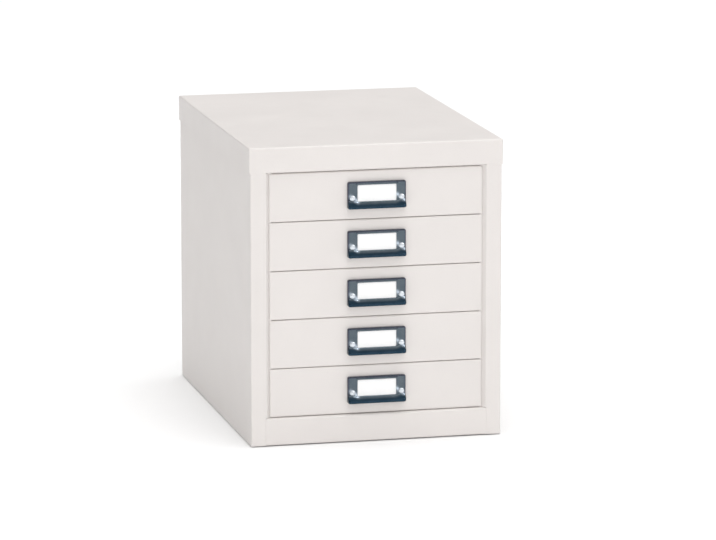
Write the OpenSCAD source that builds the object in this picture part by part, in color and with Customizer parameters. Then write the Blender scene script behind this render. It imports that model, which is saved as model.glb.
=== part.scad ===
// Desktop cabinet with five shallow drawers, folded from sheet steel.
// Millimetres. +Z is up, the drawers face -Y, +X is to the right seen from the front.
// The origin is on the resting plane, in the middle of the whole outline.

/* [Cabinet] */
// Width over the lid
lid_w = 279; // [270:1:300]
// Depth of the lid, front to back
lid_d = 380; // [340:1:420]
// Height from the resting plane to the top of the lid
total_h = 325; // [315:1:335]
// How far the lid stands past the body at each side and at the back
lid_lap = 1.2; // [1.0:0.1:2.0]
// Sheet thickness of the body
sheet = 0.8; // [0.7:0.1:1.0]
// Sheet thickness of the lid
lid_sheet = 1.0; // [0.8:0.1:1.2]
// Width of the closed seams between stiles, rail and plinth
seam = 0.08; // [0.05:0.01:0.3]
// Height of the plinth rail's upper edge above the resting plane
plinth_top = 30.55; // [25:0.025:34]
// Height of the lid's front rail and side flanges
rail_h = 27.875; // [24:0.025:32]
// Width of each front stile
stile_w = 17.1; // [14:0.1:20]
// Depth of the stile's return in front of the closing flange
stile_return = 4.3; // [4.2:0.1:8]
// How far the stile's return slopes inwards over that depth
splay = 3.6; // [1:0.1:3.7]
// How far a plastic glide lifts the body
glide_h = 1; // [0.8:0.1:3]

/* [Drawers] */
// Gap between one drawer front and the next
front_gap = 0.55; // [0.5:0.05:3]
// Gap between the top drawer front and the rail
rail_gap = 0.925; // [0.6:0.025:3]
// Gap between the lowest drawer front and the plinth
plinth_gap = 0.55; // [0.5:0.05:3]
// Gap between a drawer front and the stile beside it
side_gap = 4.1; // [3.9:0.1:5]
// How far the drawer fronts lie behind the stiles
front_recess = 3; // [2.8:0.1:3]
// Depth of a drawer front's folded pan
pan_d = 10; // [9:0.5:12]
// Outer width of a tray between its side flanges
tray_w = 217; // [214:1:218]
// Length of a tray behind its front
tray_l = 349; // [300:1:352]
// Travel of a drawer
travel = 290; // [200:5:300]

/* [Pulls] */
// Width of a pull
pull_w = 64; // [60:0.5:80]
// Height of a pull
pull_h = 29.2; // [28:0.1:34]
// How far the finger lip stands out from the drawer front
pull_out = 8; // [7:0.5:10]
// Width of the card window
win_w = 42.9; // [38:0.1:44]
// Height of the card window
win_h = 17.6; // [14:0.1:18]
// Distance of the two rivets
rivet_pitch = 54; // [53:0.5:55]

/* [Hidden] */

drawers = 5;
// the finger lips stand this far in front of the stiles
lip_proud = pull_out - front_recess;
// front plane of stiles, rail and plinth, and the lid's rear
yf = -(lid_d - lip_proud) / 2;
yb = yf + lid_d;
// body outline inside the lid's flanges
bx = lid_w / 2 - lid_lap;
by = yb - lid_lap;
bz = glide_h;
// opening for the drawers
ox = bx - stile_w;
z_low = plinth_top;
z_high = total_h - rail_h;
// outer radius of the stiles' inner edges
stile_bend = 1.2;
pitch = (z_high - z_low - rail_gap - plinth_gap + front_gap) / drawers;
front_h = pitch - front_gap;
// drawer front
fw = ox - side_gap;
fy = yf + front_recess;
wing_t = 0.9;
// inner edge of the closing flange, and the half width of what passes inside it
close_x = ox - 6.6;
pan_x = close_x - 0.8;
// tray
tx = tray_w / 2;
tray_y0 = fy + pan_d;
tray_y1 = tray_y0 + tray_l;
tray_bottom = -24;
tray_top = 20.4;
ear_x = close_x + 1.7;
ear_y0 = tray_y1 - 11;
ear_y1 = tray_y1 - 1;
// racks and runners
rack_x = ear_x + 1.2;
rack_y0 = yf + 11;
rack_y1 = tray_y1 + 4.8;
run_y0 = yf + 16;
run_y1 = tray_y1 - 4;
// pull
pull_dz = -0.1;
plate_w = 4;
plate_t = 1;
win_top = pull_h / 2 - 3.7;
win_low = win_top - win_h;
rivet_z = pull_h / 2 - 17.3;
rivet_r = 1.6;
head_r = 3.1;
glide_x = bx - 10.3;
glide_y0 = yf + 22;
glide_y1 = yb - 22;

// centre height of drawer n, counted from the top
function zc(n) = z_high - rail_gap - front_h / 2 - (n - 1) * pitch;

function unit(v) = v / norm(v);
function left_of(v) = [-v[1], v[0]];
function turn(v, a) = [v[0] * cos(a) - v[1] * sin(a), v[0] * sin(a) + v[1] * cos(a)];
function arc(c, r, a0, a1, n = 6) =
    [for (i = [0:n]) let (a = a0 + (a1 - a0) * i / n) [c[0] + r * cos(a), c[1] + r * sin(a)]];
// points and normals round one bend of a sheet's middle line
function bend(p, i, r, n) =
    let (d0 = unit(p[i] - p[i - 1]), d1 = unit(p[i + 1] - p[i]),
         a = atan2(d0[0] * d1[1] - d0[1] * d1[0], d0 * d1), s = sign(a),
         c = p[i] - d0 * r * tan(abs(a) / 2) + left_of(d0) * r * s)
    [for (k = [0:n]) let (m = turn(left_of(d0), a * k / n)) [c - m * r * s, m]];
function spine(p, r, n) = concat(
    [[p[0], left_of(unit(p[1] - p[0]))]],
    [for (i = [1:len(p) - 2]) each bend(p, i, is_list(r) ? r[i - 1] : r, n)],
    [[p[len(p) - 1], left_of(unit(p[len(p) - 1] - p[len(p) - 2]))]]);
// outline of a folded sheet of thickness t along the middle line p
function fold(p, t, r, n = 5) = let (s = spine(p, r, n)) concat(
    [for (e = s) e[0] + e[1] * t / 2],
    [for (i = [len(s) - 1:-1:0]) s[i][0] - s[i][1] * t / 2]);
// rectangle with its own radius at each corner, counted from the low corner anticlockwise
function rrect(x0, y0, x1, y1, r, n = 6) = concat(
    r[0] > 0 ? arc([x0 + r[0], y0 + r[0]], r[0], 180, 270, n) : [[x0, y0]],
    r[1] > 0 ? arc([x1 - r[1], y0 + r[1]], r[1], 270, 360, n) : [[x1, y0]],
    r[2] > 0 ? arc([x1 - r[2], y1 - r[2]], r[2], 0, 90, n) : [[x1, y1]],
    r[3] > 0 ? arc([x0 + r[3], y1 - r[3]], r[3], 90, 180, n) : [[x0, y1]]);

// a box between two corners
module block(a, b) { translate(a) cube(b - a); }
// a profile of [y, z] points run along X
module along_x(x0, x1, pts) {
    translate([x0, 0, 0]) rotate([90, 0, 90]) linear_extrude(x1 - x0) polygon(pts);
}
// a profile of [x, z] points run along Y
module along_y(y0, y1, pts) {
    translate([0, y1, 0]) rotate([90, 0, 0]) linear_extrude(y1 - y0) polygon(pts);
}
// a profile of [x, y] points run along Z
module along_z(z0, z1, pts) {
    translate([0, 0, z0]) linear_extrude(z1 - z0) polygon(pts);
}

// rounded box of the lid, open downwards
module lid_block(in, low, r_top, r_side) {
    w = lid_w / 2 - in;
    intersection() {
        along_y(yf - 1, yb + 1, rrect(-w, low, w, total_h - in, [0, 0, r_top, r_top]));
        along_x(-w - 1, w + 1, rrect(yf + in, low, yb - in, total_h - in, [0, 0, r_top, r_top]));
        along_z(low - 1, total_h + 1, rrect(-w, yf + in, w, yb - in, [r_side, r_side, r_side, r_side]));
    }
}

module top_cap() {
    ym = yf + lid_sheet / 2;
    zm = z_high + lid_sheet / 2;
    edge = ox - seam;
    color([0.92, 0.9, 0.89]) union() {
        difference() {
            lid_block(0, z_high, 2, 1.6);
            lid_block(lid_sheet, z_high - 5, 1, 0.6);
            block([-edge, yf - 1, z_high - 1], [edge, yf + lid_sheet, z_high + 3.5]);
        }
        // folded lower edge of the front rail between the stiles
        along_x(-edge, edge, fold([[ym, z_high + 3.5], [ym, zm], [yf + 15.5, zm], [yf + 15.5, z_high + 9]],
            lid_sheet, [2, 1.2]));
    }
}

// right side panel; the left one is its mirror image
module side_panel() {
    h = sheet / 2;
    difference() {
        union() {
            along_z(bz, total_h - 3, fold([[bx - 12, by - h], [bx - h, by - h], [bx - h, yf + h],
                [ox + 0.6 * h, yf + h], [ox - splay + 0.6 * h, yf + stile_return + h],
                [close_x, yf + stile_return + h]], sheet, [1.2, 1.4, stile_bend - h, 0.8]));
            // bottom flange that carries the glides
            block([ox + 2, yf + 0.6, bz], [bx - 0.3, by - 0.6, bz + sheet]);
        }
        // the stile butts against the plinth, and its closing flange stops short of plinth and rail
        block([close_x - 1, yf - 1, bz - 1], [ox + stile_bend, yf + stile_return + 2, z_low + seam]);
        block([close_x - 1, yf + stile_return - 1, bz - 1], [ox, yf + stile_return + 2, z_low + 0.3]);
        block([close_x - 1, yf + stile_return - 1, z_high - 0.4], [ox, yf + stile_return + 2, total_h]);
        // room for the rail, above the stile
        block([close_x - 1, yf - 1, z_high - seam], [bx + 1, yf + lid_sheet + 0.3, total_h]);
        block([close_x - 1, yf - 1, z_high - seam], [bx - sheet, yf + stile_return + 2, total_h]);
        for (y = [glide_y0, glide_y1])
            translate([glide_x, y, bz - 1]) cylinder(r = 3, h = 4, $fn = 40);
    }
}
module right_side_panel() { color([0.91, 0.89, 0.88]) side_panel(); }
module left_side_panel() { color([0.83, 0.81, 0.8]) mirror([1, 0, 0]) side_panel(); }

module back_panel() {
    color([0.87, 0.85, 0.84])
        block([-bx + 1.7, by - 2 * sheet, bz + sheet + 0.3], [bx - 1.7, by - sheet, total_h - 3]);
}

module base_pan() {
    h = sheet / 2;
    edge = ox + stile_bend - seam;
    sx = bx - sheet - h;
    y1 = by - 2 * sheet;
    color([0.91, 0.89, 0.88]) union() {
        // plinth flange, floor and rear flange
        along_x(-edge, edge, fold([[yf + 12, bz + h], [yf + h, bz + h], [yf + h, z_low - h],
            [y1 - h, z_low - h], [y1 - h, z_low - 16]], sheet, [1.2, 2.1, 1.2]));
        // floor out to the side walls, with its side flanges
        along_y(yf + stile_return + 2, y1 - 2, fold([[-sx, z_low - 18], [-sx, z_low - h], [sx, z_low - h],
            [sx, z_low - 18]], sheet, 1.2));
    }
}

// right rack; the left one is its mirror image
module rack() {
    h = sheet / 2;
    along_z(z_low, z_high - 0.5, fold([[bx - sheet - h, rack_y0 + 14], [bx - sheet - h, rack_y0 + h],
        [rack_x + h, rack_y0 + h], [rack_x + h, rack_y1 - h], [bx - sheet - h, rack_y1 - h],
        [bx - sheet - h, rack_y1 - 14]], sheet, 1.2));
}
module right_runner_rack() { color([0.87, 0.85, 0.84]) rack(); }
module left_runner_rack() { color([0.83, 0.81, 0.8]) mirror([1, 0, 0]) rack(); }

// channels for the tray flanges, with the opening stop across each
module runners() {
    h = sheet / 2;
    low = tray_top - sheet - 0.35 - h;
    high = tray_top + 0.5 + h;
    for (n = [1:drawers]) translate([0, 0, zc(n)]) union() {
        along_y(run_y0, run_y1, fold([[tx + 1.2, low], [rack_x - h, low], [rack_x - h, high],
            [pan_x - 1.3, high]], sheet, 0.6));
        block([pan_x + 0.9, ear_y0 - travel - 0.3 - sheet, low], [rack_x - h, ear_y0 - travel - 0.3, high]);
    }
}
module right_drawer_runners() { color([0.75, 0.75, 0.75]) runners(); }
module left_drawer_runners() { color([0.75, 0.75, 0.75]) mirror([1, 0, 0]) runners(); }

module glides() {
    color([0.12, 0.12, 0.12]) for (s = [-1, 1], y = [glide_y0, glide_y1]) translate([s * glide_x, y, 0])
        rotate_extrude($fn = 48) polygon([[0, 0], [7, 0], [7.5, 0.5], [7.5, glide_h], [2.9, glide_h],
            [2.9, glide_h + sheet], [3.6, glide_h + sheet + 0.05], [2.4, glide_h + 4], [0, glide_h + 4]]);
}

module tray(n) {
    h = sheet / 2;
    top = tray_top - h;
    low = tray_bottom + h;
    color([0.86, 0.84, 0.83]) translate([0, 0, zc(n)]) union() {
        // floor, side walls and the flanges that slide in the channels
        along_y(tray_y0 + sheet, tray_y1, fold([[-pan_x, top], [-tx + h, top], [-tx + h, low], [tx - h, low],
            [tx - h, top], [pan_x, top]], sheet, 1.2));
        // ears that meet the stops
        for (s = [-1, 1])
            block([s > 0 ? pan_x - 0.5 : -ear_x, ear_y0, tray_top - sheet],
                  [s > 0 ? ear_x : -pan_x + 0.5, ear_y1, tray_top]);
    }
}

// inner wall, welded to the front of the tray, which closes the back of the drawer front's pan
module inner_wall(n) {
    color([0.86, 0.84, 0.83]) translate([0, 0, zc(n)])
        block([-pan_x + 0.4, tray_y0, -front_h / 2 + 0.35], [pan_x - 0.4, tray_y0 + sheet, front_h / 2 - 0.35]);
}

// rear wall between the sides of the tray
module rear_wall(n) {
    color([0.86, 0.84, 0.83]) translate([0, 0, zc(n)])
        block([-tx + sheet + 0.05, tray_y1 - sheet - 0.4, tray_bottom + sheet],
              [tx - sheet - 0.05, tray_y1 - 0.4, tray_top - 3]);
}

module front(n) {
    r = 1.8;
    z1 = front_h / 2;
    color([0.92, 0.9, 0.89]) translate([0, 0, zc(n)]) difference() {
        intersection() {
            along_x(-fw - 1, fw + 1, rrect(fy, -z1, fy + pan_d, z1, [r, 0, 0, r]));
            along_z(-z1 - 1, z1 + 1, concat(arc([-fw + 0.8, fy + 0.8], 0.8, 180, 270, 5),
                arc([fw - 0.8, fy + 0.8], 0.8, 270, 360, 5),
                [[fw, fy + wing_t], [pan_x, fy + wing_t], [pan_x, fy + pan_d],
                 [-pan_x, fy + pan_d], [-pan_x, fy + wing_t], [-fw, fy + wing_t]]));
        }
        along_x(-pan_x + sheet, pan_x - sheet,
            rrect(fy + sheet, -z1 + sheet, fy + pan_d + 1, z1 - sheet, [r - sheet, 0, 0, r - sheet]));
        for (s = [-1, 1]) translate([s * rivet_pitch / 2, fy - 1, pull_dz + rivet_z]) rotate([-90, 0, 0])
            cylinder(r = rivet_r + 0.05, h = 3, $fn = 40);
    }
}

// how far the pull's outer surface stands out, at height v over the pull's middle
ramp_top = -5.6;
ramp_low = -10;
function ogee(t) = t <= 0 ? 0 : t >= 1 ? 1 : t * t * (3 - 2 * t);
function out_at(v) = plate_w + (pull_out - plate_w) * ogee((ramp_top - v) / (ramp_top - ramp_low));
// middle line of the pressed sheet, from the lip upwards, as [out, height]
pull_line = concat([[pull_out, -pull_h / 2]],
    [for (i = [0:10]) let (v = ramp_low + (ramp_top - ramp_low) * i / 10) [out_at(v), v]],
    [[plate_w, pull_h / 2 - 1.6]], arc([plate_w - 1.6, pull_h / 2 - 1.6], 1.6, 15, 90, 5));
// the same line moved inwards by the sheet's thickness
function inward(p, i, t) = let (a = p[max(i - 1, 0)], b = p[min(i + 1, len(p) - 1)],
    m = left_of(unit(b - a))) p[i] + m * t;
pull_line_in = [for (i = [0:len(pull_line) - 1]) inward(pull_line, i, plate_t)];

module pull(n) {
    w = pull_w / 2;
    v = pull_h / 2;
    // [y, z] outlines of the whole form and of its hollow, closed at the drawer front
    outer = concat([for (p = pull_line) [fy - p[0], p[1]]], [[fy, v], [fy, -v]]);
    inner = concat([[fy - pull_out + plate_t, -v - 1]], [for (p = pull_line_in) [fy - p[0], min(p[1], v - plate_t)]],
        [[fy + 1, v - plate_t], [fy + 1, -v - 1]]);
    color([0.3, 0.33, 0.38]) translate([0, 0, zc(n) + pull_dz]) difference() {
        union() {
            difference() {
                intersection() {
                    along_x(-w, w, outer);
                    along_y(fy - pull_out - 1, fy, rrect(-w, -v, w, v, [1.5, 1.5, 2, 2], 6));
                }
                intersection() {
                    along_x(-w + plate_t, w - plate_t, inner);
                    along_y(fy - pull_out - 1, fy + 1, rrect(-w + plate_t, -v - 5, w - plate_t, v - plate_t, [0, 0, 1, 1], 6));
                }
            }
            // shelf under the card
            block([-w + 0.5, fy - 5.5, win_low - 1.6], [w - 0.5, fy, win_low - 0.8]);
        }
        // card window
        along_y(fy - pull_out - 1, fy - 1, rrect(-win_w / 2, win_low, win_w / 2, win_top, [1, 1, 1, 1], 4));
        for (s = [-1, 1]) translate([s * rivet_pitch / 2, fy - pull_out, rivet_z]) rotate([-90, 0, 0])
            cylinder(r = rivet_r + 0.05, h = pull_out, $fn = 40);
    }
}

module card(n) {
    color([0.98, 0.98, 0.98]) translate([0, 0, zc(n) + pull_dz])
        block([-win_w / 2 - 3.4, fy - plate_w + plate_t, win_low - 0.8],
              [win_w / 2 + 3.4, fy - plate_w + plate_t + 0.4, win_top + 1.4]);
}

// pairs of rivets: dome on the pull, tail closed inside the drawer front
module rivets(n) {
    color([0.8, 0.82, 0.85]) for (s = [-1, 1])
        translate([s * rivet_pitch / 2, fy, zc(n) + pull_dz + rivet_z]) rotate([90, 0, 0])
            rotate_extrude($fn = 40) polygon(concat([[0, -sheet - 1.1], [2.2, -sheet - 1.1], [2.6, -sheet - 0.7],
                [2.6, -sheet], [rivet_r, -sheet], [rivet_r, plate_w], [head_r, plate_w]],
                [for (i = [1:6]) [head_r * cos(15 * i), plate_w + 1.5 * sin(15 * i)]]));
}

module drawer1_tray() { tray(1); }
module drawer1_inner_wall() { inner_wall(1); }
module drawer1_rear_wall() { rear_wall(1); }
module drawer1_front() { front(1); }
module drawer1_pull() { pull(1); }
module drawer1_card() { card(1); }
module drawer1_rivets() { rivets(1); }
module drawer2_tray() { tray(2); }
module drawer2_inner_wall() { inner_wall(2); }
module drawer2_rear_wall() { rear_wall(2); }
module drawer2_front() { front(2); }
module drawer2_pull() { pull(2); }
module drawer2_card() { card(2); }
module drawer2_rivets() { rivets(2); }
module drawer3_tray() { tray(3); }
module drawer3_inner_wall() { inner_wall(3); }
module drawer3_rear_wall() { rear_wall(3); }
module drawer3_front() { front(3); }
module drawer3_pull() { pull(3); }
module drawer3_card() { card(3); }
module drawer3_rivets() { rivets(3); }
module drawer4_tray() { tray(4); }
module drawer4_inner_wall() { inner_wall(4); }
module drawer4_rear_wall() { rear_wall(4); }
module drawer4_front() { front(4); }
module drawer4_pull() { pull(4); }
module drawer4_card() { card(4); }
module drawer4_rivets() { rivets(4); }
module drawer5_tray() { tray(5); }
module drawer5_inner_wall() { inner_wall(5); }
module drawer5_rear_wall() { rear_wall(5); }
module drawer5_front() { front(5); }
module drawer5_pull() { pull(5); }
module drawer5_card() { card(5); }
module drawer5_rivets() { rivets(5); }

top_cap();
left_side_panel();
right_side_panel();
back_panel();
base_pan();
left_runner_rack();
right_runner_rack();
left_drawer_runners();
right_drawer_runners();
glides();
drawer1_tray();
drawer1_inner_wall();
drawer1_rear_wall();
drawer1_front();
drawer1_pull();
drawer1_card();
drawer1_rivets();
drawer2_tray();
drawer2_inner_wall();
drawer2_rear_wall();
drawer2_front();
drawer2_pull();
drawer2_card();
drawer2_rivets();
drawer3_tray();
drawer3_inner_wall();
drawer3_rear_wall();
drawer3_front();
drawer3_pull();
drawer3_card();
drawer3_rivets();
drawer4_tray();
drawer4_inner_wall();
drawer4_rear_wall();
drawer4_front();
drawer4_pull();
drawer4_card();
drawer4_rivets();
drawer5_tray();
drawer5_inner_wall();
drawer5_rear_wall();
drawer5_front();
drawer5_pull();
drawer5_card();
drawer5_rivets();
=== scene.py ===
import math

import bmesh
import bpy
from mathutils import Matrix, Vector


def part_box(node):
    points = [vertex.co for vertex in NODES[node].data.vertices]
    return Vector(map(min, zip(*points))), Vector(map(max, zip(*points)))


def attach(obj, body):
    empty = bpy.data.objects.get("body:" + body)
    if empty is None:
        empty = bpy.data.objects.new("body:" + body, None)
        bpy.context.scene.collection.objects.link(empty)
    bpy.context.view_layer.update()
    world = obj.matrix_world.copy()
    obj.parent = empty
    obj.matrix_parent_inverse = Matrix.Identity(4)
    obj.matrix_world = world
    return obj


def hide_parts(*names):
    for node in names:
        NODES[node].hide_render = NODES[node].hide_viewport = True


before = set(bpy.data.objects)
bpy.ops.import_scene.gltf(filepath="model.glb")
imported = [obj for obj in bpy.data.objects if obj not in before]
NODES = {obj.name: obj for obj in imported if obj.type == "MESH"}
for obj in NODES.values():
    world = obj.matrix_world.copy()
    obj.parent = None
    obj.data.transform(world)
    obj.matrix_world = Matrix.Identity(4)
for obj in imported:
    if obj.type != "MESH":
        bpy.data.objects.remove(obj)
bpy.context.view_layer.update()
MM = 0.001

# ---------------------------------------------------------------- sizes, in mm, read from the CAD
def mm_box(node):
    lo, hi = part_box(node)
    return [v / MM for v in lo], [v / MM for v in hi]


FY = mm_box("drawer1_front")[0][1]          # face of the drawer fronts
PULL_LO, PULL_HI = mm_box("drawer1_pull")
PULL_W = PULL_HI[0] - PULL_LO[0]
PULL_H = PULL_HI[2] - PULL_LO[2]
PULL_OUT = FY - PULL_LO[1]
PLATE = 4.0                                 # how far the pull's plate stands out
CARD_LO, CARD_HI = mm_box("drawer1_card")
WIN_TOP = PULL_H / 2 - 3.7
WIN = (-21.45, WIN_TOP - 17.6, 21.45, WIN_TOP + 0.3)
RIVET_U, RIVET_V = 27.0, PULL_H / 2 - 17.3


# ---------------------------------------------------------------- node helpers
class Mat:
    """A small helper round one material's node tree."""

    def __init__(self, name):
        self.m = bpy.data.materials.new(name)
        self.m.use_nodes = True
        self.t = self.m.node_tree
        self.t.nodes.clear()
        self.out = self.t.nodes.new("ShaderNodeOutputMaterial")
        self.bsdf = self.t.nodes.new("ShaderNodeBsdfPrincipled")
        self.link(self.bsdf.outputs["BSDF"], self.out.inputs["Surface"])
        self.coord = self.t.nodes.new("ShaderNodeTexCoord").outputs["Object"]

    def link(self, a, b):
        self.t.links.new(a, b)
        return b

    def new(self, kind, **props):
        n = self.t.nodes.new(kind)
        for k, v in props.items():
            setattr(n, k, v)
        return n

    def put(self, node, name, value):
        s = node.inputs[name]
        if hasattr(value, "is_linked") or isinstance(value, bpy.types.NodeSocket):
            self.link(value, s)
        else:
            s.default_value = value

    def noise(self, scale, detail=2.0, rough=0.5, distortion=0.0, vector=None, dims="3D"):
        n = self.new("ShaderNodeTexNoise", noise_dimensions=dims)
        self.link(vector if vector is not None else self.coord, n.inputs["Vector"])
        n.inputs["Scale"].default_value = scale
        n.inputs["Detail"].default_value = detail
        n.inputs["Roughness"].default_value = rough
        n.inputs["Distortion"].default_value = distortion
        return n.outputs["Fac"]

    def voronoi(self, scale, vector=None, feature="F1"):
        n = self.new("ShaderNodeTexVoronoi", feature=feature)
        self.link(vector if vector is not None else self.coord, n.inputs["Vector"])
        n.inputs["Scale"].default_value = scale
        return n.outputs["Distance"]

    def math(self, op, a, b=None, c=None, clamp=False):
        n = self.new("ShaderNodeMath", operation=op, use_clamp=clamp)
        for i, v in enumerate((a, b, c)):
            if v is None:
                continue
            if isinstance(v, bpy.types.NodeSocket):
                self.link(v, n.inputs[i])
            else:
                n.inputs[i].default_value = v
        return n.outputs[0]

    def remap(self, v, a0, a1, b0, b1, smooth=False):
        n = self.new("ShaderNodeMapRange", clamp=True)
        if smooth:
            n.interpolation_type = "SMOOTHSTEP"
        self.link(v, n.inputs["Value"])
        for k, x in zip(("From Min", "From Max", "To Min", "To Max"), (a0, a1, b0, b1)):
            n.inputs[k].default_value = x
        return n.outputs["Result"]

    def mix(self, fac, a, b):
        n = self.new("ShaderNodeMix", data_type="RGBA")
        if isinstance(fac, bpy.types.NodeSocket):
            self.link(fac, n.inputs["Factor"])
        else:
            n.inputs["Factor"].default_value = fac
        for key, v in (("A", a), ("B", b)):
            s = [i for i in n.inputs if i.name == key and i.type == "RGBA"][0]
            if isinstance(v, bpy.types.NodeSocket):
                self.link(v, s)
            else:
                s.default_value = (*v, 1.0)
        return [o for o in n.outputs if o.type == "RGBA"][0]

    def xyz(self):
        n = self.new("ShaderNodeSeparateXYZ")
        self.link(self.coord, n.inputs[0])
        return n.outputs

    def scaled(self, sx, sy, sz):
        n = self.new("ShaderNodeMapping")
        self.link(self.coord, n.inputs["Vector"])
        n.inputs["Scale"].default_value = (sx, sy, sz)
        return n.outputs["Vector"]

    def bump(self, height, distance, strength=1.0, normal=None):
        n = self.new("ShaderNodeBump")
        self.link(height, n.inputs["Height"])
        n.inputs["Distance"].default_value = distance
        n.inputs["Strength"].default_value = strength
        if normal is not None:
            self.link(normal, n.inputs["Normal"])
        return n.outputs["Normal"]

    def edge(self, radius, lo=0.985, hi=0.80):
        """0 on flat faces, 1 on convex or concave edges, from a bevelled normal."""
        b = self.new("ShaderNodeBevel", samples=6)
        b.inputs["Radius"].default_value = radius
        g = self.new("ShaderNodeNewGeometry")
        d = self.new("ShaderNodeVectorMath", operation="DOT_PRODUCT")
        self.link(b.outputs["Normal"], d.inputs[0])
        self.link(g.outputs["Normal"], d.inputs[1])
        return self.remap(d.outputs["Value"], lo, hi, 0.0, 1.0)


def powder_coat(name, tint, rough=0.43, welds=False):
    """Off-white powder coat: orange peel, faint cloudiness, and edges painted a touch lighter, partly as rubbing and
    partly as a painted highlight.

    With welds, a row of shallow spot-weld dents shows through on the rear flanges."""
    k = Mat(name)
    cloud = k.noise(14.0, 3.0, 0.55)
    specks = k.noise(420.0, 1.0, 0.5)
    edge = k.edge(0.0011)
    rub_and_sheen = k.math("MULTIPLY", edge, k.remap(k.noise(60.0, 4.0, 0.6), 0.42, 0.66, 0.15, 1.0))
    c = k.mix(k.remap(cloud, 0.3, 0.7, 0.0, 1.0), tuple(v * 0.985 for v in tint), tuple(v * 1.012 for v in tint))
    c = k.mix(k.remap(specks, 0.66, 0.74, 0.0, 0.10), c, tuple(v * 0.86 for v in tint))
    # edges painted a touch lighter: partly rubbed wear, partly a painted highlight
    c = k.mix(k.math("MULTIPLY", rub_and_sheen, 0.35), c, tuple(min(1.0, v * 1.07) for v in tint))
    k.link(c, k.bsdf.inputs["Base Color"])
    r = k.remap(k.noise(30.0, 3.0, 0.6), 0.3, 0.7, rough - 0.035, rough + 0.045)
    r = k.math("SUBTRACT", r, k.math("MULTIPLY", rub_and_sheen, 0.08))
    k.link(r, k.bsdf.inputs["Roughness"])
    peel = k.math("ADD", k.noise(620.0, 2.0, 0.5), k.math("MULTIPLY", k.noise(1500.0, 1.0, 0.5), 0.35))
    n = k.bump(peel, 0.00003, 0.55)
    n = k.bump(k.noise(22.0, 1.0, 0.5), 0.0006, 0.16, n)
    if welds:
        x, y, z = k.xyz()
        du = k.math("SUBTRACT", k.math("ABSOLUTE", x), 0.1323)
        dv = k.math("MULTIPLY", k.math("SUBTRACT", k.math("FRACT", k.math("DIVIDE", z, 0.0485)), 0.5), 0.0485)
        d = k.math("SQRT", k.math("ADD", k.math("MULTIPLY", du, du), k.math("MULTIPLY", dv, dv)))
        dent = k.remap(d, 0.0015, 0.0032, 0.0, 1.0, smooth=True)
        dent = k.math("MAXIMUM", dent, k.remap(y, 0.1909, 0.1907, 0.0, 1.0))
        n = k.bump(dent, 0.0008, 1.0, n)
    k.link(n, k.bsdf.inputs["Normal"])
    k.bsdf.inputs["Specular IOR Level"].default_value = 0.3
    return k.m


def plating(name):
    """Polished nickel-chrome over pressed steel, dark and bluish, with painted light: the finger lip and the rolled
    rims painted darker as a painted reflection, and a painted highlight streaked on the ramp under each rivet.
    """
    k = Mat(name)
    z = k.new("ShaderNodeAttribute", attribute_name="lip_shade").outputs["Fac"]
    grain = k.noise(900.0, 2.0, 0.6, vector=k.scaled(0.25, 1.0, 1.0))
    blotch = k.noise(90.0, 3.0, 0.6)
    plate = k.mix(k.remap(blotch, 0.3, 0.7, 0.0, 1.0), (0.092, 0.120, 0.143), (0.122, 0.148, 0.170))
    # the finger lip painted a darker navy than the plate: painted shade standing for the dark reflection the lip
    # shows
    lip = k.mix(k.remap(blotch, 0.35, 0.65, 0.0, 1.0), (0.019, 0.043, 0.068), (0.030, 0.057, 0.085))
    c = k.mix(k.remap(z, 0.0, 1.0, 0.0, 1.0), plate, lip)
    # the rolled rims painted darker: a painted reflection of a dark surround
    rim_shade = k.new("ShaderNodeAttribute", attribute_name="rim_shade").outputs["Fac"]
    c = k.mix(k.math("MULTIPLY", rim_shade, k.remap(z, 0.0, 0.6, 0.85, 0.0)), c, (0.064, 0.068, 0.100))
    edge = k.edge(0.0005, 0.98, 0.72)
    worn = k.remap(k.noise(160.0, 4.0, 0.65), 0.45, 0.7, 0.0, 0.5)
    c = k.mix(k.math("MULTIPLY", edge, worn), c, (0.34, 0.38, 0.43))
    # painted highlight: a pale streak on the ramp under each rivet
    glint_mask = k.new("ShaderNodeAttribute", attribute_name="painted_glint").outputs["Fac"]
    glint_streaks = k.math("MULTIPLY", glint_mask, k.remap(k.noise(420.0, 3.0, 0.6), 0.3, 0.6, 0.6, 1.0))
    c = k.mix(k.math("MULTIPLY", glint_streaks, 0.95), c, (0.60, 0.68, 0.78))
    k.link(c, k.bsdf.inputs["Base Color"])
    k.bsdf.inputs["Metallic"].default_value = 1.0
    r = k.math("ADD", k.remap(grain, 0.25, 0.75, 0.12, 0.24), k.math("MULTIPLY", k.remap(blotch, 0.4, 0.7, 0.0, 1.0), 0.06))
    k.link(r, k.bsdf.inputs["Roughness"])
    k.link(k.bump(grain, 0.00001, 0.5), k.bsdf.inputs["Normal"])
    return k.m


def rivet_metal(name):
    k = Mat(name)
    grain = k.noise(1400.0, 2.0, 0.6)
    c = k.mix(k.remap(grain, 0.3, 0.7, 0.0, 1.0), (0.68, 0.73, 0.79), (0.80, 0.84, 0.88))
    k.link(c, k.bsdf.inputs["Base Color"])
    k.bsdf.inputs["Metallic"].default_value = 1.0
    k.link(k.remap(grain, 0.2, 0.8, 0.24, 0.38), k.bsdf.inputs["Roughness"])
    k.link(k.bump(grain, 0.00001, 0.5), k.bsdf.inputs["Normal"])
    return k.m


def paper(name):
    k = Mat(name)
    fibre = k.noise(1800.0, 3.0, 0.65, vector=k.scaled(1.0, 1.0, 0.45))
    c = k.mix(k.remap(fibre, 0.3, 0.7, 0.0, 1.0), (0.95, 0.95, 0.947), (0.99, 0.99, 0.988))
    k.link(c, k.bsdf.inputs["Base Color"])
    k.link(k.remap(fibre, 0.2, 0.8, 0.62, 0.8), k.bsdf.inputs["Roughness"])
    k.bsdf.inputs["Specular IOR Level"].default_value = 0.3
    k.link(k.bump(fibre, 0.00002, 0.4), k.bsdf.inputs["Normal"])
    return k.m


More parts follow.
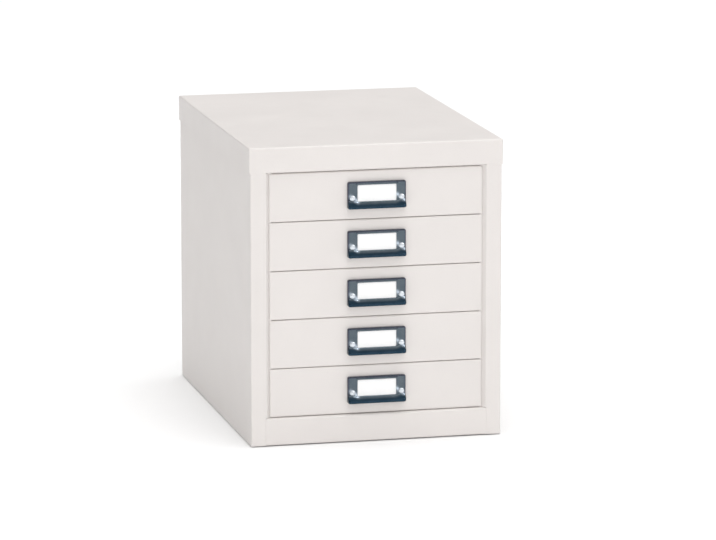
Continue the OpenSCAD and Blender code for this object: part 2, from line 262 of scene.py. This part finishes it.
def zinc(name):
    k = Mat(name)
    spangle = k.voronoi(260.0)
    c = k.mix(k.remap(spangle, 0.1, 0.8, 0.0, 1.0), (0.50, 0.51, 0.52), (0.62, 0.63, 0.64))
    k.link(c, k.bsdf.inputs["Base Color"])
    k.bsdf.inputs["Metallic"].default_value = 1.0
    k.link(k.remap(k.noise(300.0, 3.0, 0.6, vector=k.scaled(1.0, 0.05, 1.0)), 0.3, 0.7, 0.3, 0.45), k.bsdf.inputs["Roughness"])
    return k.m


def black_plastic(name):
    k = Mat(name)
    grain = k.noise(1100.0, 2.0, 0.6)
    c = k.mix(k.remap(grain, 0.3, 0.7, 0.0, 1.0), (0.018, 0.018, 0.019), (0.032, 0.032, 0.033))
    k.link(c, k.bsdf.inputs["Base Color"])
    k.link(k.remap(grain, 0.2, 0.8, 0.5, 0.65), k.bsdf.inputs["Roughness"])
    k.link(k.bump(grain, 0.00004, 0.5), k.bsdf.inputs["Normal"])
    return k.m


TINT = (0.765, 0.7275, 0.705)
M_COAT = powder_coat("powder_coat", TINT)
M_COAT_WELDS = powder_coat("powder_coat_welds", TINT, welds=True)
M_INNER = powder_coat("inner_paint", tuple(v * 0.985 for v in TINT), 0.5)
M_PLATE = plating("pull_plating")
M_RIVET = rivet_metal("rivet_plating")
M_CARD = paper("card_paper")
M_ZINC = zinc("runner_zinc")
M_BLACK = black_plastic("glide_plastic")


# ---------------------------------------------------------------- mesh helpers
def mesh_object(name, bm, mat, smooth=True):
    bmesh.ops.recalc_face_normals(bm, faces=bm.faces)
    me = bpy.data.meshes.new(name)
    bm.to_mesh(me)
    bm.free()
    for p in me.polygons:
        p.use_smooth = smooth
    o = bpy.data.objects.new(name, me)
    bpy.context.scene.collection.objects.link(o)
    o.data.materials.append(mat)
    return o


def ogee(t):
    t = max(0.0, min(1.0, t))
    return t * t * (3 - 2 * t)


def lerp(a, b, t):
    return a + (b - a) * t


# ---------------------------------------------------------------- the pulls
# u runs across the pull, v up and w outwards from the drawer front, all in mm from the pull's middle
SIDE_TOP, MID_TOP, RAMP_LOW = -4.4, -6.3, -12.0


def ramp_top(u):
    """Where the ramp to the finger lip starts: high beside the rivets, lower under the window."""
    return lerp(SIDE_TOP, MID_TOP, ogee((27.5 - abs(u)) / 7.5))


def skin_out(u, v):
    """How far the outer skin of the pull stands out from the drawer front."""
    top = ramp_top(u)
    t = max(0.0, min(1.0, (top - v) / (top - RAMP_LOW)))
    w = PLATE + (PULL_OUT - PLATE) * (1.5 * t ** 2 - 0.5 * t ** 6)
    # pressed bead round the card window
    du = max(abs(u) - WIN[2], 0.0)
    dv = max(v - WIN[3], WIN[1] - v, 0.0)
    d = math.hypot(du, dv)
    w += 0.22 * math.exp(-((d - 1.15) / 0.6) ** 2) * (1.0 if v > WIN[1] - 0.2 else math.exp(-((WIN[1] - 0.2 - v) / 0.6)))
    # shallow dimple in which each rivet head sits
    r = math.hypot(abs(u) - RIVET_U, v - RIVET_V)
    w -= 0.18 * ogee((4.3 - r) / 1.3)
    return w


def lip_shade_of(u, v):
    """0 on the plate, 1 on the finger lip: where the plating is painted darker, a painted reflection of a dark
    surround.
    """
    return ogee((ramp_top(u) - 1.9 - v) / 2.4)


def rim_shade_of(u, v):
    """1 on the rolled outer edges of the plate, 0 within it: where the plating is painted darker as a painted
    reflection of a dark surround.
    """
    d = min(PULL_W / 2 - abs(u), PULL_H / 2 - v)
    return ogee((1.9 - d) / 1.1)


def painted_glint_of(u, v):
    """1 on a slanting streak under each rivet, at the start of the ramp, where a highlight is painted into the
    plating.
    """
    best = 0.0
    for (u0, v0), (u1, v1), wide in (((-28.8, -1.0), (-21.2, -6.8), 1.75), ((21.9, 0.4), (29.4, -5.8), 1.6)):
        du, dv = u1 - u0, v1 - v0
        t = max(0.0, min(1.0, ((u - u0) * du + (v - v0) * dv) / (du * du + dv * dv)))
        d = math.hypot(u - u0 - t * du, v - v0 - t * dv)
        best = max(best, math.exp(-(d / wide) ** 2))
    return best


def half_width(v):
    w = PULL_W / 2
    for r, e in ((2.0, PULL_H / 2 - v), (1.5, v + PULL_H / 2 - 0.3)):
        if e < r:
            e = max(e, 0.0)
            w -= r - math.sqrt(max(0.0, r * r - (r - e) ** 2))
    return w


def steps(*spans):
    """Values along a line: (start, end, count) spans, joined."""
    out = []
    for a, b, n in spans:
        out += [a + (b - a) * i / n for i in range(n)]
    out.append(spans[-1][1])
    return out


US = steps((0, 17.0, 6), (17.0, 19.9, 3), (19.9, WIN[2] - 1.1, 1), (WIN[2] - 1.1, WIN[2], 4), (WIN[2], 24.0, 7), (24.0, 30.0, 14))
US = [-u for u in reversed(US[1:])] + US
R_TOP, R_SIDE, R_LIP = 1.3, 1.15, 2.6


def build_pull(name, zc):
    h, low = PULL_H / 2, PULL_H / 2 - 0.3
    rows = [(h, 0.0), (h, 0.9), (h, 1.8)]
    for i in range(7):
        a = math.radians(90 * i / 6)
        rows.append((h - R_TOP + R_TOP * math.cos(a), PLATE - R_TOP + R_TOP * math.sin(a)))
    n_wall = len(rows)
    vs = steps((h - R_TOP - 0.25, WIN[3] + 1.6, 2), (WIN[3] + 1.6, WIN[3], 5), (WIN[3], WIN[3] - 1.1, 3),
               (WIN[3] - 1.1, 2.0, 5), (2.0, WIN[1] + 1.1, 12), (WIN[1] + 1.1, WIN[1], 3),
               (WIN[1], RAMP_LOW, 18), (RAMP_LOW, -low + 0.62, 4))
    rows += [(v, None) for v in vs]
    bm = bmesh.new()
    lip_shade = bm.verts.layers.float.new("lip_shade")
    rim_shade = bm.verts.layers.float.new("rim_shade")
    painted_glint = bm.verts.layers.float.new("painted_glint")

    def vert(u, v, w):
        b = bm.verts.new((u * MM, (FY - w) * MM, (zc + v) * MM))
        b[lip_shade] = lip_shade_of(u, v)
        b[rim_shade] = rim_shade_of(u, v)
        b[painted_glint] = painted_glint_of(u, v)
        return b

    grid, flat = [], []
    for v, fixed in rows:
        hw = half_width(v)
        reach = (lambda u: fixed) if fixed is not None else (lambda u, v=v: skin_out(u, v))
        edge_w = reach(30.0)
        rs = max(0.02, min(lerp(R_SIDE, R_LIP, ogee((SIDE_TOP - v) / 4.5)), edge_w * 0.92))
        flat0 = hw - rs
        side = [(hw, (edge_w - rs) * i / 4) for i in range(4)]
        side += [(hw - rs + rs * math.cos(math.radians(90 * i / 6)), edge_w - rs + rs * math.sin(math.radians(90 * i / 6)))
                 for i in range(6)]
        line = [(-u, w) for u, w in side]
        for u in US:
            if abs(u) > 24.0:
                u = math.copysign(24.0 + (abs(u) - 24.0) * (flat0 - 24.0) / 6.0, u)
            line.append((u, reach(u)))
        line += [(u, w) for u, w in reversed(side)]
        flat.append(line)
        grid.append([vert(u, v, w) for u, w in line])
    m = len(flat[0])
    # rolled hem round the mouth of the finger lip
    last_v, last = rows[-1][0], flat[-1]
    normals = []
    for j in range(m):
        a, b = last[max(0, j - 1)], last[min(m - 1, j + 1)]
        d = Vector((b[0] - a[0], b[1] - a[1])).normalized()
        normals.append(Vector((d.y, -d.x)))
    hem = 0.62
    for i in range(1, 9):
        f = math.radians(180 * i / 8)
        grid.append([vert(last[j][0] + normals[j].x * hem * (1 - math.cos(f)),
                          last_v - hem * math.sin(f),
                          max(last[j][1] + normals[j].y * hem * (1 - math.cos(f)), 0.0)) for j in range(m)])
    for k, dv in ((2, 0.5), (2, 1.4)):
        grid.append([vert(last[j][0] + normals[j].x * hem * k, last_v + dv,
                          max(last[j][1] + normals[j].y * hem * k, 0.0)) for j in range(m)])
    # inner skin: the same form one sheet thickness inside
    t = 0.8
    inner = []
    for i, (v, fixed) in enumerate(rows):
        row = []
        for j, (u, w) in enumerate(flat[i]):
            a, b = flat[i][max(0, j - 1)], flat[i][min(m - 1, j + 1)]
            d = Vector((b[0] - a[0], b[1] - a[1])).normalized()
            n2 = Vector((d.y, -d.x))
            slope = 0.0
            if fixed is None:
                slope = (skin_out(u, v + 0.05) - skin_out(u, v - 0.05)) / 0.1
            k = t * math.sqrt(1 + slope * slope) if abs(n2.y) > 0.5 else t
            nv = v - (t * min(1.0, (i / (n_wall - 1))) if i < n_wall else 0.0)
            if i < n_wall:
                a2 = math.radians(90 * max(0, i - 3) / 6)
                nv = v - t * math.cos(a2)
                nw = max(w - (t * math.sin(a2) if i >= 3 else 0.0), 0.0)
                uu = u + (n2.x * t if abs(n2.x) > 0.5 else 0.0)
                row.append(vert(uu, nv, nw))
            else:
                row.append(vert(u + n2.x * k * abs(n2.x), nv, max(w + n2.y * k * abs(n2.y), 0.0)))
        inner.append(row)

    def inside_window(i, j):
        u = (flat[i][j][0] + flat[i][j + 1][0]) / 2
        v = (rows[i][0] + rows[i + 1][0]) / 2
        return i >= n_wall and WIN[0] < u < WIN[2] and WIN[1] < v < WIN[3]

    n_rows = len(rows)
    hole = set()
    for i in range(len(grid) - 1):
        for j in range(m - 1):
            if i < n_rows - 1 and inside_window(i, j):
                hole.add((i, j))
                continue
            bm.faces.new((grid[i][j], grid[i][j + 1], grid[i + 1][j + 1], grid[i + 1][j]))
    for i in range(n_rows - 1):
        for j in range(m - 1):
            if (i, j) not in hole:
                bm.faces.new((inner[i][j], inner[i + 1][j], inner[i + 1][j + 1], inner[i][j + 1]))
    # the edge of the sheet inside the window
    for i, j in hole:
        for (ni, nj), (p, q) in (((i - 1, j), ((i, j), (i, j + 1))), ((i + 1, j), ((i + 1, j), (i + 1, j + 1))),
                                 ((i, j - 1), ((i, j), (i + 1, j))), ((i, j + 1), ((i, j + 1), (i + 1, j + 1)))):
            if (ni, nj) not in hole:
                bm.faces.new((grid[p[0]][p[1]], grid[q[0]][q[1]], inner[q[0]][q[1]], inner[p[0]][p[1]]))
    # the sheet's edge against the drawer front, at the top and down both sides
    for j in range(m - 1):
        bm.faces.new((grid[0][j], grid[0][j + 1], inner[0][j + 1], inner[0][j]))
    for i in range(n_rows - 1):
        for j in (0, m - 1):
            bm.faces.new((grid[i][j], grid[i + 1][j], inner[i + 1][j], inner[i][j]))
    # round the corners of the window
    R = 1.1
    for b in bm.verts:
        u, v = b.co.x / MM, b.co.z / MM - zc
        if FY - b.co.y / MM < 2.0:
            continue
        for su, uw in ((-1, WIN[0]), (1, WIN[2])):
            for sv, vw in ((-1, WIN[1]), (1, WIN[3])):
                on_u = abs(u - uw) < 0.02 and 0 <= (vw - v) * sv <= R + 0.02
                on_v = abs(v - vw) < 0.02 and 0 <= (uw - u) * su <= R + 0.02
                if on_u or on_v:
                    a = min(1.0, ((vw - v) * sv if on_u else (uw - u) * su) / R)
                    ang = math.radians(45 - 45 * a if on_u else 45 + 45 * a)
                    b.co.x = (uw - su * R + su * R * math.cos(ang)) * MM
                    b.co.z = (vw - sv * R + sv * R * math.sin(ang) + zc) * MM
    bmesh.ops.delete(bm, geom=[x for x in bm.verts if not x.link_faces], context="VERTS")
    bmesh.ops.remove_doubles(bm, verts=bm.verts, dist=1e-7)
    o = mesh_object(name, bm, M_PLATE)
    o.data.set_sharp_from_angle(angle=math.radians(50))
    return o


def build_rivets(name, zc):
    bm = bmesh.new()
    head, tall, n = 3.1, 1.5, 40
    seat = PLATE - 0.16
    prof = [(0.0, seat + tall)]
    prof += [(head * math.sin(math.radians(a)), seat + 0.22 + (tall - 0.22) * math.cos(math.radians(a)))
             for a in (10, 20, 30, 40, 50, 60, 70, 79, 86)]
    prof += [(head, seat + 0.12), (head - 0.08, seat), (1.62, seat), (1.6, -0.8), (2.6, -0.8), (2.55, -1.5), (2.1, -1.85),
             (0.0, -1.9)]
    for s in (-1, 1):
        cu, cv = s * RIVET_U, zc + RIVET_V
        rings = []
        for r, w in prof:
            if r == 0:
                rings.append([bm.verts.new((cu * MM, (FY - w) * MM, cv * MM))])
            else:
                rings.append([bm.verts.new(((cu + r * math.cos(2 * math.pi * i / n)) * MM, (FY - w) * MM,
                                            (cv + r * math.sin(2 * math.pi * i / n)) * MM)) for i in range(n)])
        for a, b in zip(rings, rings[1:]):
            for i in range(n):
                j = (i + 1) % n
                if len(a) == 1:
                    bm.faces.new((a[0], b[i], b[j]))
                elif len(b) == 1:
                    bm.faces.new((a[i], b[0], a[j]))
                else:
                    bm.faces.new((a[i], b[i], b[j], a[j]))
    o = mesh_object(name, bm, M_RIVET)
    o.data.set_sharp_from_angle(angle=math.radians(40))
    return o


def build_card(name, zc):
    """A thin card, very slightly bowed in its holder."""
    bm = bmesh.new()
    nu, nv = 24, 10
    u1 = CARD_HI[0] - 0.15
    v0, v1 = WIN[1] - 0.75, WIN_TOP + 1.3
    layers = []
    for back in (0, 1):
        g = []
        for i in range(nv + 1):
            row = []
            for j in range(nu + 1):
                u, v = lerp(-u1, u1, j / nu), lerp(v0, v1, i / nv)
                bow = 0.06 * math.sin(math.pi * j / nu) * math.sin(math.pi * i / nv)
                w = PLATE - 0.9 + bow - (0.25 if back else 0.0)
                row.append(bm.verts.new((u * MM, (FY - w) * MM, (zc + v) * MM)))
            g.append(row)
        layers.append(g)
    f, b = layers
    for i in range(nv):
        for j in range(nu):
            bm.faces.new((f[i][j], f[i][j + 1], f[i + 1][j + 1], f[i + 1][j]))
            bm.faces.new((b[i][j], b[i + 1][j], b[i + 1][j + 1], b[i][j + 1]))
    ring_f = f[0] + [r[-1] for r in f[1:]] + f[-1][-2::-1] + [r[0] for r in f[-2:0:-1]]
    ring_b = b[0] + [r[-1] for r in b[1:]] + b[-1][-2::-1] + [r[0] for r in b[-2:0:-1]]
    for i in range(len(ring_f)):
        j = (i + 1) % len(ring_f)
        bm.faces.new((ring_f[i], ring_b[i], ring_b[j], ring_f[j]))
    return mesh_object(name, bm, M_CARD, smooth=False)


for k in range(1, 6):
    body = "drawer%d" % k
    lo, hi = mm_box(body + "_pull")
    zc = (lo[2] + hi[2]) / 2
    p = build_pull(body + "_cup_pull", zc)
    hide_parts(body + "_pull")
    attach(p, body)
    c = build_card(body + "_label_card", zc)
    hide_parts(body + "_card")
    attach(c, body)
    r = build_rivets(body + "_rivet_pair", zc)
    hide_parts(body + "_rivets")
    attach(r, body)


# ---------------------------------------------------------------- CAD nodes keep their shape and get their finish
def dress(o, mat, edge=0.16):
    """Gives a CAD node its material, smooth bends and finely rounded sheet edges."""
    me = o.data
    me.materials.clear()
    me.materials.append(mat)
    if "custom_normal" in me.attributes:
        me.attributes.remove(me.attributes["custom_normal"])
    for name in ("sharp_edge", "sharp_face"):
        if name in me.attributes:
            me.attributes.remove(me.attributes[name])
    w = o.modifiers.new("weld", "WELD")
    w.merge_threshold = 1e-6
    b = o.modifiers.new("rounded_edges", "BEVEL")
    b.limit_method = "ANGLE"
    b.angle_limit = math.radians(33)
    b.width = edge * MM
    b.segments = 2
    b.miter_outer = "MITER_ARC"
    b.use_clamp_overlap = True
    n = o.modifiers.new("weighted_normals", "WEIGHTED_NORMAL")
    n.mode = "FACE_AREA_WITH_ANGLE"
    n.weight = 60


FINISH = {"top_cap": M_COAT, "left_side_panel": M_COAT_WELDS, "right_side_panel": M_COAT_WELDS, "back_panel": M_COAT,
          "base_pan": M_COAT, "left_runner_rack": M_INNER, "right_runner_rack": M_INNER,
          "left_drawer_runners": M_ZINC, "right_drawer_runners": M_ZINC, "glides": M_BLACK}
for k in range(1, 6):
    for part in ("tray", "inner_wall", "rear_wall"):
        FINISH["drawer%d_%s" % (k, part)] = M_INNER
    FINISH["drawer%d_front" % k] = M_COAT
for n, mat in FINISH.items():
    dress(NODES[n], mat)

# ---------------------------------------------------------------- stage, light, camera
bm = bmesh.new()
bmesh.ops.create_grid(bm, x_segments=2, y_segments=2, size=8.0)
floor = mesh_object("floor", bm, M_COAT, smooth=False)
fm = Mat("floor_paper")
fm.bsdf.inputs["Roughness"].default_value = 0.9
fm.bsdf.inputs["Specular IOR Level"].default_value = 0.1
fc = fm.mix(fm.remap(fm.noise(3.0, 2.0, 0.5), 0.3, 0.7, 0.0, 1.0), (0.972, 0.972, 0.972), (0.98, 0.98, 0.98))
fm.link(fc, fm.bsdf.inputs["Base Color"])
floor.data.materials.clear()
floor.data.materials.append(fm.m)
floor.location.z = -0.0002

# a white studio: brightest low down in front, dimmer overhead, where the softboxes give the light
world = bpy.data.worlds.new("studio")
bpy.context.scene.world = world
world.use_nodes = True
wt = world.node_tree
wt.nodes.clear()
w_out = wt.nodes.new("ShaderNodeOutputWorld")
w_bg = wt.nodes.new("ShaderNodeBackground")
w_co = wt.nodes.new("ShaderNodeTexCoord")
w_xyz = wt.nodes.new("ShaderNodeSeparateXYZ")
wt.links.new(w_co.outputs["Generated"], w_xyz.inputs[0])


def w_range(value, a0, a1, b0, b1):
    n = wt.nodes.new("ShaderNodeMapRange")
    n.interpolation_type = "SMOOTHSTEP"
    wt.links.new(value, n.inputs["Value"])
    for key, x in zip(("From Min", "From Max", "To Min", "To Max"), (a0, a1, b0, b1)):
        n.inputs[key].default_value = x
    return n.outputs["Result"]


def w_math(op, a, b):
    n = wt.nodes.new("ShaderNodeMath")
    n.operation = op
    for i, v in enumerate((a, b)):
        if isinstance(v, bpy.types.NodeSocket):
            wt.links.new(v, n.inputs[i])
        else:
            n.inputs[i].default_value = v
    return n.outputs[0]


W_BACK, W_FRONT, W_HIGH = 0.11, 0.30, 0.81
low_ring = w_range(w_xyz.outputs["Y"], 0.2, -0.9, W_BACK, W_FRONT)
high = w_range(w_xyz.outputs["Z"], 0.30, 0.80, 0.0, 1.0)
w_val = w_math("ADD", w_math("MULTIPLY", low_ring, w_math("SUBTRACT", 1.0, high)), w_math("MULTIPLY", high, W_HIGH))
# past the floor's edge, just under the horizon, the studio is as white as the floor
below = w_math("MULTIPLY", w_range(w_xyz.outputs["Z"], -0.004, -0.014, 0.0, 1.0),
               w_range(w_xyz.outputs["Z"], -0.10, -0.07, 0.0, 1.0))
w_val = w_math("ADD", w_math("MULTIPLY", w_val, w_math("SUBTRACT", 1.0, below)), below)
wt.links.new(w_val, w_bg.inputs["Strength"])
w_bg.inputs["Color"].default_value = (1.0, 1.0, 1.0, 1.0)
wt.links.new(w_bg.outputs[0], w_out.inputs["Surface"])


def softbox(name, loc, target, wide, tall, power, glossy=True):
    d = bpy.data.lights.new(name, "AREA")
    d.shape = "RECTANGLE"
    d.size, d.size_y = wide, tall
    d.energy = power
    o = bpy.data.objects.new(name, d)
    bpy.context.scene.collection.objects.link(o)
    o.location = loc
    o.rotation_mode = "QUATERNION"
    o.rotation_quaternion = (Vector(target) - Vector(loc)).to_track_quat("-Z", "Y")
    o.visible_glossy = glossy
    return o


def sky_light(name, direction, strength, angle):
    """Even, very soft light from a direction; it isn't seen in reflections."""
    d = bpy.data.lights.new(name, "SUN")
    d.energy = strength
    d.angle = math.radians(angle)
    o = bpy.data.objects.new(name, d)
    bpy.context.scene.collection.objects.link(o)
    o.rotation_mode = "QUATERNION"
    o.rotation_quaternion = Vector(direction).to_track_quat("-Z", "Y")
    o.visible_glossy = False
    return o


softbox("camera_side_box", (-1.15, -4.85, 1.1), (0, -0.1, 0.16), 1.2, 0.8, 36.0, False)
softbox("front_softbox", (0.2, -4.4, 2.1), (0, -0.1, 0.16), 3.0, 1.8, 20.2)
softbox("top_softbox", (0.1, 0.2, 3.2), (0, 0, 0.1), 3.0, 3.0, 14.5, False)
sky_light("overhead", (-0.10, 0.05, -1), 1.28, 70)
# seen only in the bright metal: a large panel high on the right
panel = softbox("right_panel", (2.35, -2.3, 1.9), (0, -0.18, 0.16), 1.9, 1.9, 40.0)
panel.visible_diffuse = False

cam_data = bpy.data.cameras.new("camera")
cam = bpy.data.objects.new("camera", cam_data)
bpy.context.scene.collection.objects.link(cam)
cam_data.sensor_width = 36.0
cam_data.lens = 232.94
yaw, pitch = math.radians(13.456), math.radians(10.918)
fwd = Vector((math.sin(yaw) * math.cos(pitch), math.cos(yaw) * math.cos(pitch), -math.sin(pitch)))
cam.location = (-1.15376, -4.92284, 1.12794)
cam.rotation_mode = "QUATERNION"
cam.rotation_quaternion = fwd.to_track_quat("-Z", "Y")
cam_data.clip_start, cam_data.clip_end = 0.1, 60.0
bpy.context.scene.camera = cam

sc = bpy.context.scene
sc.view_settings.view_transform = "Standard"
sc.view_settings.look = "None"
sc.view_settings.exposure = 0.0
sc.view_settings.gamma = 1.0
